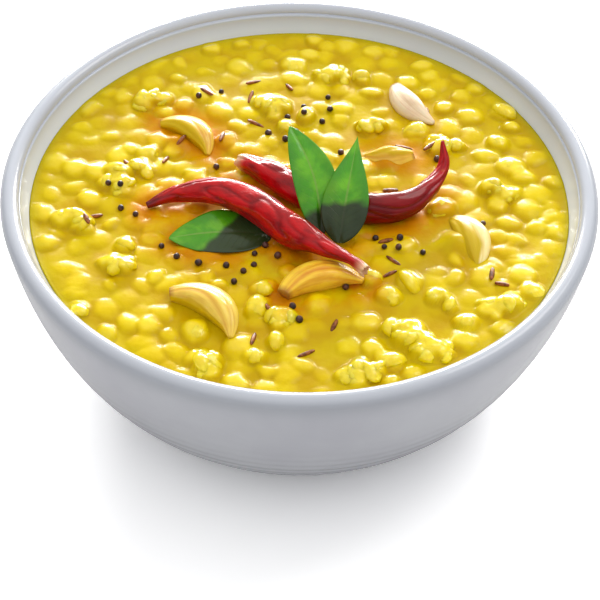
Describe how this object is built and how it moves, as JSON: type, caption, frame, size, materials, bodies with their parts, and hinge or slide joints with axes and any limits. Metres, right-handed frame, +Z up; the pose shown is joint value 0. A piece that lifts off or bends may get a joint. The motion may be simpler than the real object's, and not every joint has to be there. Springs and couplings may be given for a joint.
{
  "type": "bowl of dal",
  "caption": "Round white glazed bowl filled with yellow lentil dal, topped with dried red chillies, curry leaves and garlic cloves.",
  "frame": {"origin": "middle of the underside of the bowl's foot ring, where it stands", "axes": "+Z up along the bowl's axis; the toppings are seen from the -Y side"},
  "size_m": [0.16, 0.16, 0.0779],
  "materials": {
    "bowl_glaze": "gloss",
    "dal": "gloss",
    "chilli_skin": "gloss",
    "curry_leaf": "satin",
    "garlic": "satin"
  },
  "bodies": {
    "root": {"bowl": "bowl_glaze", "dal": "dal", "chilli_front": "chilli_skin", "chilli_back": "chilli_skin", "curry_leaf_left": "curry_leaf", "curry_leaf_middle": "curry_leaf", "curry_leaf_right": "curry_leaf", "garlic_front_right": "garlic", "garlic_front_left": "garlic", "garlic_right": "garlic", "garlic_back_left": "garlic", "garlic_back_right": "garlic", "garlic_centre": "garlic"}
  },
  "joints": []
}
